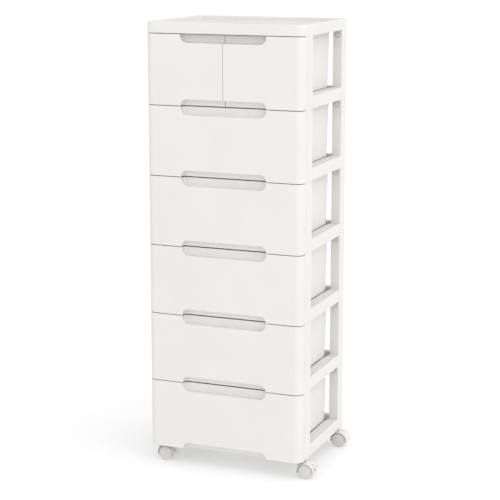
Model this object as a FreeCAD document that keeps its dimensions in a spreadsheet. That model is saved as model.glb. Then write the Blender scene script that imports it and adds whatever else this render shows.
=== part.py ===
import FreeCAD, Part
import os
import Sketcher

# Drawer tower on casters: six tiers of stacked frames and posts, with a split top row.
# Row frame: X to the right, Y to the back, Z up. The origin is on the floor, under the
# middle of the cabinet's footprint. All lengths are in millimetres.

SIZES = {
    # whole cabinet
    "cabinet_width": 420.0,
    "cabinet_depth": 330.0,
    "tier_pitch": 179.0,
    "ground_clearance": 44.0,
    "moulded_wall": 2.4,
    "cut_overrun": 5.0,
    "pick_reach": 0.01,
    # drawer fronts
    "front_depth": 20.6,
    "front_corner_radius": 20.0,
    "front_edge_radius": 1.2,
    "front_seam": 1.6,
    "front_to_frame_gap": 0.4,
    # finger scoops where two fronts meet
    "scoop_length": 229.0,
    "scoop_depth": 16.0,
    "scoop_seam": 3.0,
    "top_scoop_height": 21.0,
    "top_scoop_radius": 18.0,
    "bottom_scoop_height": 16.5,
    "bottom_scoop_radius": 15.0,
    "scoop_cove_radius": 5.0,
    # tier frames
    "rail_height": 32.0,
    "rail_width": 29.0,
    "rail_flare_length": 50.0,
    "rear_bar_depth": 19.0,
    "front_bar_depth": 24.0,
    "runner_height": 17.5,
    "runner_width": 25.0,
    "centre_bar_width": 64.0,
    "frame_edge_radius": 0.8,
    # corner posts
    "post_width": 24.0,
    "front_post_depth": 49.0,
    "rear_post_depth": 40.0,
    "post_wall": 2.4,
    "post_bead_setback": 9.0,
    "post_bead_width": 1.5,
    "post_bead_depth": 0.4,
    "spigot_height": 20.0,
    "spigot_clearance": 0.2,
    "latch_radius": 6.0,
    "latch_clearance": 1.1,
    "latch_drop": 11.6,
    "latch_stand": 0.6,
    # drawer boxes
    "box_length": 289.0,
    "box_rear_draft": 1.5,
    "box_side_draft": 4.5,
    "box_corner_radius": 26.0,
    "box_base_radius": 20.0,
    "lip_width": 1.8,
    "lip_height": 3.0,
    "lip_to_post_gap": 0.7,
    "rim_to_frame_gap": 3.0,
    "glide_height": 1.7,
    "glide_width": 8.0,
    "glide_inset": 14.0,
    "running_gap": 0.3,
    "stop_width": 20.0,
    "stop_thickness": 4.0,
    "stop_height": 7.0,
    "stop_offset": 70.0,
    "stop_setback": 22.0,
    # divider between the two small drawers
    "divider_thickness": 3.0,
    "divider_foot_width": 10.0,
    "divider_foot_height": 1.6,
    # top cover
    "cover_height": 28.5,
    "cover_rim_width": 13.0,
    "cover_tray_depth": 9.0,
    "cover_rim_radius": 3.0,
    "cover_tray_radius": 2.0,
    "cover_tray_corner_radius": 12.0,
    "rear_corner_radius": 3.0,
    # casters
    "wheel_radius": 19.0,
    "wheel_width": 9.4,
    "wheel_dome": 0.6,
    "wheel_edge_radius": 1.0,
    "wheel_groove_inset": 2.4,
    "wheel_groove_width": 0.7,
    "wheel_groove_depth": 0.5,
    "wheel_side_gap": 0.3,
    "wheel_bore_depth": 7.6,
    "axle_radius": 2.5,
    "axle_end_gap": 0.5,
    "turning_clearance": 0.05,
    "caster_side_inset": 15.5,
    "caster_end_inset": 32.0,
    "caster_trail": 21.0,
    "stem_radius": 4.0,
    "stem_insert": 17.0,
    "stem_drop": 20.0,
    "stem_tip_radius": 0.8,
    "stem_boss_radius": 7.0,
    "hood_half_width": 17.0,
    "hood_wheel_gap": 2.2,
    "hood_wall": 1.4,
    "hood_skirt_drop": 5.7,
    "hood_edge_radius": 0.9,
    "hub_width": 13.0,
    "hood_collar_radius": 9.0,
    "hood_collar_height": 2.0,
    "brake_width": 8.0,
    "brake_side_gap": 0.2,
    "brake_slot_start": 9.0,
    "brake_slot_top": 18.0,
    "brake_pivot_reach": 13.0,
    "brake_pivot_rise": 9.0,
    "brake_pin_radius": 1.5,
    "brake_inner_reach": 10.5,
    "brake_tip_reach": 32.0,
    "brake_top_rise": 16.0,
    "brake_tip_thickness": 1.8,
    "brake_heel_reach": 20.0,
    "brake_heel_drop": 8.0,
    "brake_heel_width": 2.5,
    "brake_hole_reach": 23.0,
    "brake_hole_rise": 5.6,
    "brake_hole_radius": 2.0,
    "brake_edge_radius": 0.8,
}

TIER_COUNT = 6
SPLIT_TIER = TIER_COUNT - 1


class Size:
    """A length that carries its number and the sheet expression that gives it."""

    def __init__(self, number, formula):
        self.number = number
        self.formula = formula

    def __neg__(self):
        return Size(-self.number, f"(0 - {self.formula})")

    def __add__(self, other):
        return Size(self.number + other.number, f"({self.formula} + {other.formula})")

    def __sub__(self, other):
        return Size(self.number - other.number, f"({self.formula} - {other.formula})")

    def __mul__(self, factor):
        return Size(self.number * factor, f"({self.formula} * {factor})")

    def __truediv__(self, factor):
        return Size(self.number / factor, f"({self.formula} / {factor})")


ZERO = Size(0.0, "0")

doc = FreeCAD.newDocument("drawer_tower")
sheet = doc.addObject("Spreadsheet::Sheet", "dims")
for row, (alias, number) in enumerate(SIZES.items(), start=1):
    sheet.set(f"A{row}", alias)
    sheet.set(f"B{row}", str(number))
    sheet.setAlias(f"B{row}", alias)
doc.recompute()


def size(alias):
    return Size(SIZES[alias], f"dims.{alias}")


# Sizes that several pieces share, worked out from the sheet

wall = size("moulded_wall")
overrun = size("cut_overrun")
half_width = size("cabinet_width") / 2
half_depth = size("cabinet_depth") / 2
pitch = size("tier_pitch")
clearance = size("ground_clearance")
rail_height = size("rail_height")
runner_height = size("runner_height")
post_width = size("post_width")
post_wall = size("post_wall")
post_height = pitch - rail_height
spigot_height = size("spigot_height")

frame_front = size("front_depth") + size("front_to_frame_gap") - half_depth
frame_rear = half_depth
front_post_end = frame_front + size("front_post_depth")
rear_post_start = frame_rear - size("rear_post_depth")
post_inner = half_width - post_width
post_middle = half_width - post_width / 2
rail_inner = half_width - size("rail_width")
flare_start = rear_post_start - size("rail_flare_length")
runner_inner = rail_inner - size("runner_width")
rear_bar_front = frame_rear - size("rear_bar_depth")
front_bar_rear = frame_front + size("front_bar_depth")
spigot_inset = post_wall + size("spigot_clearance")

cabinet_top = clearance + pitch * TIER_COUNT
cover_underside = size("cover_height") - size("cover_tray_depth") - wall

lip_side = post_inner - size("lip_to_post_gap")
box_side_top = lip_side - size("lip_width")
box_side_bottom = box_side_top - size("box_side_draft")
box_rear_top = size("box_length") - half_depth
box_rear_bottom = box_rear_top - size("box_rear_draft")
box_underside = runner_height + size("running_gap") + size("glide_height")
box_rim = pitch - size("rim_to_frame_gap")
half_seam = size("front_seam") / 2
front_bottom = half_seam
front_top = pitch - half_seam
skin_back = wall - half_depth

stem_x = half_width - size("caster_side_inset")
stem_y = half_depth - size("caster_end_inset")
trail = size("caster_trail")
wheel_radius = size("wheel_radius")
hood_inner = wheel_radius + size("hood_wheel_gap")
hood_outer = hood_inner + size("hood_wall")
hub_half = size("hub_width") / 2
boss_top = clearance - size("running_gap")


# Small helpers for bodies, sketches and features


def new_body(label):
    body = doc.addObject("PartDesign::Body", label)
    body.Label = label
    return body


def place(body, x=ZERO, y=ZERO, z=ZERO, half_turn=False):
    """Puts a body at its place in the cabinet, turned half round about Z if asked."""
    angle = 180 if half_turn else 0
    turn = FreeCAD.Rotation(FreeCAD.Vector(0, 0, 1), angle)
    body.Placement = FreeCAD.Placement(FreeCAD.Vector(x.number, y.number, z.number), turn)
    body.setExpression("Placement.Base.x", x.formula)
    body.setExpression("Placement.Base.y", y.formula)
    body.setExpression("Placement.Base.z", z.formula)


def new_sketch(body, name, plane="XY_Plane", offset=ZERO):
    """A sketch on one of the body's own origin planes, moved along the plane's normal."""
    sketch = body.newObject("Sketcher::SketchObject", name)
    support = [item for item in body.Origin.OriginFeatures if item.Role == plane][0]
    sketch.AttachmentSupport = [(support, "")]
    sketch.MapMode = "FlatFace"
    sketch.AttachmentOffset = FreeCAD.Placement(
        FreeCAD.Vector(0, 0, offset.number), FreeCAD.Rotation()
    )
    sketch.setExpression("AttachmentOffset.Base.z", offset.formula)
    return sketch


def dimension(sketch, geometry, point, across, up):
    """Places one point of a sketch by two dimensions from its origin."""
    first = sketch.ConstraintCount
    sketch.addConstraint(
        [
            Sketcher.Constraint("DistanceX", -1, 1, geometry, point, across.number),
            Sketcher.Constraint("DistanceY", -1, 1, geometry, point, up.number),
        ]
    )
    sketch.setExpression(f"Constraints[{first}]", across.formula)
    sketch.setExpression(f"Constraints[{first + 1}]", up.formula)


def draw_outline(sketch, points):
    """A closed outline of straight lines through points given as (across, up)."""
    first = sketch.GeometryCount
    count = len(points)
    corners = [FreeCAD.Vector(across.number, up.number, 0) for across, up in points]
    sketch.addGeometry(
        [Part.LineSegment(corners[i], corners[(i + 1) % count]) for i in range(count)]
    )
    sketch.addConstraint(
        [
            Sketcher.Constraint("Coincident", first + (i - 1) % count, 2, first + i, 1)
            for i in range(count)
        ]
    )
    for i, (across, up) in enumerate(points):
        dimension(sketch, first + i, 1, across, up)


def draw_rectangle(sketch, left, right, low, high):
    draw_outline(sketch, [(left, low), (right, low), (right, high), (left, high)])


def draw_circle(sketch, across, up, radius):
    centre = FreeCAD.Vector(across.number, up.number, 0)
    normal = FreeCAD.Vector(0, 0, 1)
    index = sketch.addGeometry(Part.Circle(centre, normal, radius.number))
    dimension(sketch, index, 3, across, up)
    constraint = sketch.addConstraint(Sketcher.Constraint("Radius", index, radius.number))
    sketch.setExpression(f"Constraints[{constraint}]", radius.formula)


def extrude(kind, body, name, sketch, length=None, against=False, both_ways=False):
    """A pad or pocket of a sketch. Without a length a pocket goes through everything."""
    feature = body.newObject(kind, name)
    feature.Profile = sketch
    feature.Reversed = against
    if both_ways:
        feature.SideType = "Symmetric"
    if length is None:
        feature.Type = "ThroughAll"
    else:
        feature.Length = length.number
        feature.setExpression("Length", length.formula)
    return feature


def pad(body, name, sketch, length, **options):
    return extrude("PartDesign::Pad", body, name, sketch, length, **options)


def pocket(body, name, sketch, length=None, **options):
    return extrude("PartDesign::Pocket", body, name, sketch, length, **options)


def loft(kind, body, name, lower, upper):
    feature = body.newObject(kind, name)
    feature.Profile = lower
    feature.Sections = [upper]
    feature.Ruled = True
    return feature


def lies_at(edge, x=None, y=None, z=None):
    """True if the whole edge lies at each coordinate that is given."""
    box = edge.BoundBox
    spans = ((x, box.XMin, box.XMax), (y, box.YMin, box.YMax), (z, box.ZMin, box.ZMax))
    reach = SIZES["pick_reach"]
    return all(
        place_at is None
        or (abs(low - place_at.number) < reach and abs(high - place_at.number) < reach)
        for place_at, low, high in spans
    )


def is_corner(edge, x, y):
    """True for an upright edge at that corner, to the right or to the left."""
    return lies_at(edge, x=x, y=y) or lies_at(edge, x=-x, y=y)


def touches(edge, y=None, z=None):
    """True if one end of the edge reaches each coordinate that is given."""
    box = edge.BoundBox
    reach = SIZES["pick_reach"]
    spans = ((y, box.YMin, box.YMax), (z, box.ZMin, box.ZMax))
    return all(
        place_at is None
        or min(abs(low - place_at.number), abs(high - place_at.number)) < reach
        for place_at, low, high in spans
    )


def fillet(body, name, radius, wanted):
    """Rounds the edges of the body's last feature that satisfy the test."""
    doc.recompute(body.Group)
    base = body.Tip
    chosen = [
        f"Edge{number}"
        for number, edge in enumerate(base.Shape.Edges, start=1)
        if wanted(edge)
    ]
    if not chosen:
        raise RuntimeError(f"{body.Label}: no edge found for {name}")
    feature = body.newObject("PartDesign::Fillet", name)
    feature.Base = (base, chosen)
    feature.Radius = radius.number
    feature.setExpression("Radius", radius.formula)
    return feature


def mirrored_pairs(low, high):
    """The same span to the right and to the left of the middle."""
    return [(low, high), (-high, -low)]


def post_spans():
    """Each corner as (left, right, front, rear)."""
    spans = []
    for left, right in mirrored_pairs(post_inner, half_width):
        spans.append((left, right, frame_front, front_post_end))
        spans.append((left, right, rear_post_start, frame_rear))
    return spans


# Corner spigots, which plug into the hollow posts above and below a frame


def add_spigots(body, foot, length, downward):
    """Solid plugs at the four corners, which the corner wells then hollow out."""
    direction = "down" if downward else "up"
    sketch = new_sketch(body, f"spigots_{direction}_sketch", offset=foot)
    for left, right, front, rear in post_spans():
        draw_rectangle(
            sketch,
            left + spigot_inset,
            right - spigot_inset,
            front + spigot_inset,
            rear - spigot_inset,
        )
    pad(body, f"spigots_{direction}", sketch, length, against=downward)


def draw_corner_wells(sketch):
    inset = spigot_inset + wall
    for left, right, front, rear in post_spans():
        draw_rectangle(sketch, left + inset, right - inset, front + inset, rear - inset)


def add_latch_buttons(body):
    """Round buttons on the rear spigots that snap into the rear posts' holes."""
    face = rear_post_start + spigot_inset
    sketch = new_sketch(body, "latch_sketch", "XZ_Plane", -face)
    for side in (post_middle, -post_middle):
        draw_circle(sketch, side, -size("latch_drop"), size("latch_radius"))
    pad(body, "latch_buttons", sketch, spigot_inset + size("latch_stand"))


# Tier frame: rails, runners, rear and front bars, corner wells


def build_frame(label, tier):
    body = new_body(label)
    is_base = tier == 0
    is_split = tier == SPLIT_TIER

    sketch = new_sketch(body, "outline_sketch")
    draw_rectangle(sketch, -half_width, half_width, frame_front, frame_rear)
    pad(body, "rails", sketch, rail_height)
    fillet(
        body,
        "rear_corners",
        size("rear_corner_radius"),
        lambda edge: is_corner(edge, half_width, frame_rear),
    )
    fillet(
        body,
        "lower_edges",
        size("frame_edge_radius"),
        lambda edge: lies_at(edge, z=ZERO) and not lies_at(edge, y=frame_front),
    )

    add_spigots(body, rail_height, spigot_height, downward=False)
    if not is_base:
        add_spigots(body, ZERO, spigot_height, downward=True)
        add_latch_buttons(body)

    wells = new_sketch(body, "wells_sketch", offset=rail_height + spigot_height)
    draw_corner_wells(wells)
    pocket(body, "corner_wells", wells)

    channel = new_sketch(body, "channel_sketch", offset=rail_height)
    draw_rectangle(channel, -rail_inner, rail_inner, frame_front - overrun, rear_bar_front)
    pocket(body, "drawer_channel", channel, rail_height - runner_height)
    flare = new_sketch(body, "flare_sketch", offset=rail_height)
    for side in (1, -1):
        draw_outline(
            flare,
            [
                ((rail_inner - wall) * side, flare_start),
                (rail_inner * side, flare_start),
                (post_inner * side, rear_post_start),
                (post_inner * side, rear_bar_front),
                ((rail_inner - wall) * side, rear_bar_front),
            ],
        )
    pocket(body, "rail_flare", flare, rail_height - runner_height)

    opening = new_sketch(body, "opening_sketch", offset=rail_height)
    centre_bar = size("centre_bar_width") / 2
    if is_split:
        for left, right in mirrored_pairs(centre_bar, runner_inner):
            draw_rectangle(opening, left, right, front_bar_rear, rear_bar_front)
    else:
        draw_rectangle(opening, -runner_inner, runner_inner, front_bar_rear, rear_bar_front)
    pocket(body, "middle_opening", opening)

    # ribbed underside: hollow rails, runners and bars
    rail_hollow = new_sketch(body, "rail_hollow_sketch")
    runner_hollow = new_sketch(body, "runner_hollow_sketch")
    hollow_front = front_post_end + wall
    hollow_rear = rear_post_start - wall
    for side in (1, -1):
        draw_outline(
            rail_hollow,
            [
                ((rail_inner + wall) * side, hollow_front),
                ((half_width - wall) * side, hollow_front),
                ((half_width - wall) * side, hollow_rear),
                ((post_inner + wall) * side, hollow_rear),
                ((rail_inner + wall) * side, flare_start - wall),
            ],
        )
    for left, right in mirrored_pairs(runner_inner + wall, rail_inner):
        draw_rectangle(runner_hollow, left, right, hollow_front, hollow_rear)
    pocket(body, "rail_hollow", rail_hollow, rail_height - wall, against=True)
    pocket(body, "runner_hollow", runner_hollow, runner_height - wall, against=True)

    rear_hollow = new_sketch(body, "rear_hollow_sketch")
    rear_side = post_inner - wall
    draw_rectangle(
        rear_hollow, -rear_side, rear_side, rear_bar_front + wall, frame_rear - wall
    )
    pocket(body, "rear_bar_hollow", rear_hollow, rail_height - wall, against=True)

    front_hollow = new_sketch(body, "front_hollow_sketch")
    draw_rectangle(
        front_hollow, -runner_inner, runner_inner, frame_front + wall, front_bar_rear - wall
    )
    pocket(body, "front_bar_hollow", front_hollow, runner_height - wall, against=True)
    if is_split:
        centre_hollow = new_sketch(body, "centre_hollow_sketch")
        side = centre_bar - wall
        draw_rectangle(centre_hollow, -side, side, front_bar_rear, rear_bar_front)
        pocket(body, "centre_bar_hollow", centre_hollow, runner_height - wall, against=True)
    if is_base:
        add_stem_sockets(body)

    place(body, z=clearance + pitch * tier)
    return body


def add_stem_sockets(body):
    """Bored bosses in the corner wells, which grip the caster stems."""
    bosses = new_sketch(body, "stem_boss_sketch")
    bores = new_sketch(body, "stem_bore_sketch")
    for x in (stem_x, -stem_x):
        for y in (stem_y, -stem_y):
            draw_circle(bosses, x, y, size("stem_boss_radius"))
            draw_circle(bores, x, y, size("stem_radius"))
    pad(body, "stem_bosses", bosses, size("stem_insert") + wall)
    pocket(body, "stem_bores", bores, size("stem_insert"), against=True)


# Corner posts


def build_post(label, tier, is_right, is_rear):
    body = new_body(label)
    left, right = (post_inner, half_width) if is_right else (-half_width, -post_inner)
    front, rear = (
        (rear_post_start, frame_rear) if is_rear else (frame_front, front_post_end)
    )
    outer = half_width if is_right else -half_width

    sketch = new_sketch(body, "outline_sketch")
    draw_rectangle(sketch, left, right, front, rear)
    pad(body, "post", sketch, post_height)
    if is_rear:
        fillet(
            body,
            "rear_corner",
            size("rear_corner_radius"),
            lambda edge: lies_at(edge, x=outer, y=frame_rear),
        )
    hollow = new_sketch(body, "hollow_sketch", offset=post_height)
    draw_rectangle(
        hollow, left + post_wall, right - post_wall, front + post_wall, rear - post_wall
    )
    pocket(body, "hollow", hollow)
    if is_rear:
        middle = post_middle if is_right else -post_middle
        hole = new_sketch(body, "latch_hole_sketch", "XZ_Plane", -(front + post_wall))
        draw_circle(
            hole,
            middle,
            post_height - size("latch_drop"),
            size("latch_radius") + size("latch_clearance"),
        )
        pocket(body, "latch_hole", hole, post_wall + overrun, against=True)
    else:
        bead = new_sketch(body, "bead_sketch", offset=post_height)
        bead_front = front + size("post_bead_setback")
        depth = size("post_bead_depth")
        bead_inner, bead_outer = (
            (half_width - depth, half_width + overrun)
            if is_right
            else (-half_width - overrun, depth - half_width)
        )
        draw_rectangle(
            bead, bead_inner, bead_outer, bead_front, bead_front + size("post_bead_width")
        )
        pocket(body, "side_groove", bead)
    place(body, z=clearance + pitch * tier + rail_height)
    return body


# Top cover: a tray with a raised rim, hollow underneath


def build_cover():
    body = new_body("top_cover")
    height = size("cover_height")
    rim = size("cover_rim_width")

    sketch = new_sketch(body, "outline_sketch")
    draw_rectangle(sketch, -half_width, half_width, -half_depth, half_depth)
    pad(body, "block", sketch, height)
    hollow = new_sketch(body, "hollow_sketch")
    hollow_side = half_width - wall
    draw_rectangle(hollow, -hollow_side, hollow_side, skin_back, half_depth - wall)
    pocket(body, "hollow", hollow, cover_underside, against=True)
    seam = new_sketch(body, "seam_sketch")
    draw_rectangle(
        seam, -half_width - overrun, half_width + overrun, -half_depth - overrun, frame_front
    )
    pocket(body, "front_seam", seam, half_seam, against=True)
    fillet(
        body,
        "front_inner_corners",
        size("front_corner_radius") - wall,
        lambda edge: is_corner(edge, hollow_side, skin_back),
    )
    fillet(
        body,
        "front_corners",
        size("front_corner_radius"),
        lambda edge: is_corner(edge, half_width, -half_depth),
    )
    fillet(
        body,
        "rear_corners",
        size("rear_corner_radius"),
        lambda edge: is_corner(edge, half_width, half_depth),
    )

    tray = new_sketch(body, "tray_sketch", offset=height)
    tray_side = half_width - rim
    tray_end = half_depth - rim
    draw_rectangle(tray, -tray_side, tray_side, -tray_end, tray_end)
    pocket(body, "tray", tray, size("cover_tray_depth"))
    fillet(
        body,
        "tray_corners",
        size("cover_tray_corner_radius"),
        lambda edge: is_corner(edge, tray_side, tray_end)
        or is_corner(edge, tray_side, -tray_end),
    )
    fillet(
        body,
        "rim_outside",
        size("cover_rim_radius"),
        lambda edge: lies_at(edge, z=height)
        and (touches(edge, y=-half_depth) or touches(edge, y=half_depth)
             or lies_at(edge, x=half_width) or lies_at(edge, x=-half_width)),
    )
    fillet(
        body,
        "rim_inside",
        size("cover_tray_radius"),
        lambda edge: lies_at(edge, z=height),
    )
    fillet(
        body,
        "lower_edges",
        size("frame_edge_radius"),
        lambda edge: lies_at(edge, y=-half_depth, z=half_seam),
    )

    blocks = new_sketch(body, "corner_block_sketch")
    for left, right, front, rear in post_spans():
        inner_left = left if left.number > 0 else left + wall / 2
        inner_right = right - wall / 2 if left.number > 0 else right
        rear_edge = rear - wall / 2 if rear.number > 0 else rear
        draw_rectangle(blocks, inner_left, inner_right, front, rear_edge)
    pad(body, "corner_blocks", blocks, cover_underside + wall / 2)

    add_spigots(body, ZERO, spigot_height, downward=True)
    add_latch_buttons(body)
    wells = new_sketch(body, "wells_sketch", offset=-spigot_height)
    draw_corner_wells(wells)
    pocket(body, "corner_wells", wells, spigot_height + cover_underside, against=True)

    place(body, z=cabinet_top)
    return body


# Drawers: one moulding, the front skin with its scoops and the box behind it


def build_drawer(label, tier, front_span, top_span, bottom_span, scoop_span, stops):
    """One drawer. Each span is (left, right); a span that ends at the middle is a half."""
    body = new_body(label)
    front_left, front_right = front_span
    front_rear = size("front_depth") - half_depth
    front_height = front_top - front_bottom
    outer_corners = [x for x in front_span if abs(x.number) == half_width.number]

    sketch = new_sketch(body, "front_sketch", offset=front_bottom)
    draw_rectangle(sketch, front_left, front_right, -half_depth, front_rear)
    pad(body, "front", sketch, front_height)
    inside = new_sketch(body, "front_hollow_sketch", offset=front_top)
    draw_rectangle(
        inside, front_left + wall, front_right - wall, skin_back, front_rear + overrun
    )
    pocket(body, "front_hollow", inside)
    inner_corners = [
        front_left + wall if x is front_left else front_right - wall for x in outer_corners
    ]
    fillet(
        body,
        "front_inner_corners",
        size("front_corner_radius") - wall,
        lambda edge: any(lies_at(edge, x=x, y=skin_back) for x in inner_corners),
    )
    fillet(
        body,
        "front_corners",
        size("front_corner_radius"),
        lambda edge: any(lies_at(edge, x=x, y=-half_depth) for x in outer_corners),
    )

    # the tapered box, with a lip round its rim
    outer_front = skin_back - wall / 2
    lower = new_sketch(body, "box_bottom_sketch", offset=box_underside)
    upper = new_sketch(body, "box_top_sketch", offset=box_rim)
    draw_rectangle(lower, bottom_span[0], bottom_span[1], outer_front, box_rear_bottom)
    draw_rectangle(upper, top_span[0], top_span[1], outer_front, box_rear_top)
    loft("PartDesign::AdditiveLoft", body, "box", lower, upper)
    lip = new_sketch(body, "lip_sketch", offset=box_rim)
    lip_width = size("lip_width")
    lip_rear = box_rear_top + lip_width
    lip_left = top_span[0] - lip_width
    lip_right = top_span[1] + lip_width
    draw_rectangle(lip, lip_left, lip_right, outer_front, lip_rear)
    pad(body, "lip", lip, size("lip_height"), against=True)
    floor_top = box_underside + wall
    inner_lower = new_sketch(body, "inside_bottom_sketch", offset=floor_top)
    inner_upper = new_sketch(body, "inside_top_sketch", offset=box_rim)
    draw_rectangle(
        inner_lower,
        bottom_span[0] + wall,
        bottom_span[1] - wall,
        skin_back,
        box_rear_bottom - wall,
    )
    draw_rectangle(
        inner_upper, top_span[0] + wall, top_span[1] - wall, skin_back, box_rear_top - wall
    )
    loft("PartDesign::SubtractiveLoft", body, "inside", inner_lower, inner_upper)
    fillet(
        body,
        "inside_corners",
        size("box_corner_radius") - wall,
        lambda edge: touches(edge, y=box_rear_top - wall, z=box_rim)
        and touches(edge, y=box_rear_bottom - wall, z=floor_top),
    )
    fillet(
        body,
        "lip_corners",
        size("box_corner_radius") + lip_width,
        lambda edge: lies_at(edge, x=lip_left, y=lip_rear)
        or lies_at(edge, x=lip_right, y=lip_rear),
    )
    fillet(
        body,
        "box_corners",
        size("box_corner_radius"),
        lambda edge: touches(edge, y=box_rear_bottom, z=box_underside)
        and touches(edge, z=box_rim - size("lip_height")),
    )
    fillet(
        body,
        "box_base",
        size("box_base_radius"),
        lambda edge: lies_at(edge, z=box_underside) and not lies_at(edge, y=skin_back),
    )
    fillet(
        body,
        "inside_floor",
        size("box_base_radius") - wall,
        lambda edge: lies_at(edge, z=floor_top) and not lies_at(edge, y=skin_back),
    )

    add_scoops(body, front_span, scoop_span)

    # glides under the sides and stops under the rear
    glides = new_sketch(body, "glide_sketch", offset=box_underside + wall / 2)
    for edge_x, sign in ((bottom_span[0], 1), (bottom_span[1], -1)):
        near = edge_x + size("glide_inset") * sign
        far = near + size("glide_width") * sign
        draw_rectangle(glides, near, far, frame_front, box_rear_bottom - size("box_base_radius"))
    pad(body, "glides", glides, size("glide_height") + wall / 2, against=True)
    stop_rear = box_rear_bottom - size("stop_setback")
    catches = new_sketch(body, "stop_sketch", offset=box_underside)
    for middle in stops:
        draw_rectangle(
            catches,
            middle - size("stop_width") / 2,
            middle + size("stop_width") / 2,
            stop_rear - size("stop_thickness"),
            stop_rear,
        )
    pad(body, "stops", catches, size("stop_height"), against=True)

    place(body, z=clearance + pitch * tier)
    return body


def add_scoops(body, front_span, scoop_span):
    """Walled finger scoops in the top and bottom edges of a front."""
    scoop_left, scoop_right = scoop_span
    depth = size("scoop_depth")
    half_scoop_seam = size("scoop_seam") / 2
    wall_left = front_span[0] if scoop_left is front_span[0] else scoop_left - wall
    wall_right = front_span[1] if scoop_right is front_span[1] else scoop_right + wall
    top_floor = front_top - size("top_scoop_height")
    bottom_roof = front_bottom + size("bottom_scoop_height")

    upper_wall = new_sketch(body, "top_scoop_wall_sketch", "XZ_Plane", half_depth)
    draw_rectangle(upper_wall, wall_left, wall_right, top_floor - wall, pitch - half_scoop_seam)
    pad(body, "top_scoop_wall", upper_wall, depth + wall, against=True)
    lower_wall = new_sketch(body, "bottom_scoop_wall_sketch", "XZ_Plane", half_depth)
    draw_rectangle(lower_wall, wall_left, wall_right, half_scoop_seam, box_underside + wall)
    pad(body, "bottom_scoop_wall", lower_wall, depth + wall, against=True)

    upper = new_sketch(body, "top_scoop_sketch", "XZ_Plane", half_depth)
    upper_left = scoop_left - overrun if scoop_left is front_span[0] else scoop_left
    upper_right = scoop_right + overrun if scoop_right is front_span[1] else scoop_right
    draw_rectangle(upper, upper_left, upper_right, top_floor, front_top + overrun)
    pocket(body, "top_scoop", upper, depth)
    lower = new_sketch(body, "bottom_scoop_sketch", "XZ_Plane", half_depth)
    draw_rectangle(lower, upper_left, upper_right, front_bottom - overrun, bottom_roof)
    pocket(body, "bottom_scoop", lower, depth)

    scoop_back = depth - half_depth
    ends = [x for x in scoop_span if x is not front_span[0] and x is not front_span[1]]

    def is_end_corner(edge, height):
        return touches(edge, y=scoop_back) and any(
            lies_at(edge, x=x, z=height) for x in ends
        )

    fillet(
        body,
        "top_scoop_ends",
        size("top_scoop_radius"),
        lambda edge: is_end_corner(edge, top_floor),
    )
    fillet(
        body,
        "bottom_scoop_ends",
        size("bottom_scoop_radius"),
        lambda edge: is_end_corner(edge, bottom_roof),
    )
    fillet(
        body,
        "scoop_coves",
        size("scoop_cove_radius"),
        lambda edge: lies_at(edge, y=scoop_back)
        and (lies_at(edge, z=top_floor) or lies_at(edge, z=bottom_roof)),
    )
    fillet(
        body,
        "front_edges",
        size("front_edge_radius"),
        lambda edge: lies_at(edge, y=-half_depth)
        and (lies_at(edge, z=front_top) or lies_at(edge, z=front_bottom)),
    )


# Divider that stands on the split frame's centre bar


def build_divider():
    body = new_body("center_divider")
    half = size("divider_thickness") / 2
    foot = size("divider_foot_width") / 2
    gap = size("running_gap")
    base = clearance + pitch * SPLIT_TIER + runner_height
    height = cabinet_top + cover_underside - gap - base
    sheet_sketch = new_sketch(body, "sheet_sketch")
    draw_rectangle(sheet_sketch, -half, half, frame_front, rear_bar_front - gap)
    pad(body, "divider", sheet_sketch, height)
    foot_sketch = new_sketch(body, "foot_sketch")
    draw_rectangle(foot_sketch, -foot, foot, frame_front, rear_bar_front - gap)
    pad(body, "foot", foot_sketch, size("divider_foot_height"))
    place(body, z=base)
    return body


# Casters


def build_stems():
    """Four steel stems, pressed into the base frame and standing in the hoods."""
    body = new_body("caster_stems")
    body.AllowCompound = True
    sketch = new_sketch(body, "stem_sketch", offset=-size("stem_drop"))
    for x in (stem_x, -stem_x):
        for y in (stem_y, -stem_y):
            draw_circle(sketch, x, y, size("stem_radius"))
    pad(body, "stems", sketch, size("stem_drop") + size("stem_insert"))
    top = size("stem_insert")
    fillet(
        body,
        "stem_tips",
        size("stem_tip_radius"),
        lambda edge: lies_at(edge, z=top) or lies_at(edge, z=-size("stem_drop")),
    )
    place(body, z=clearance)
    return body


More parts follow.
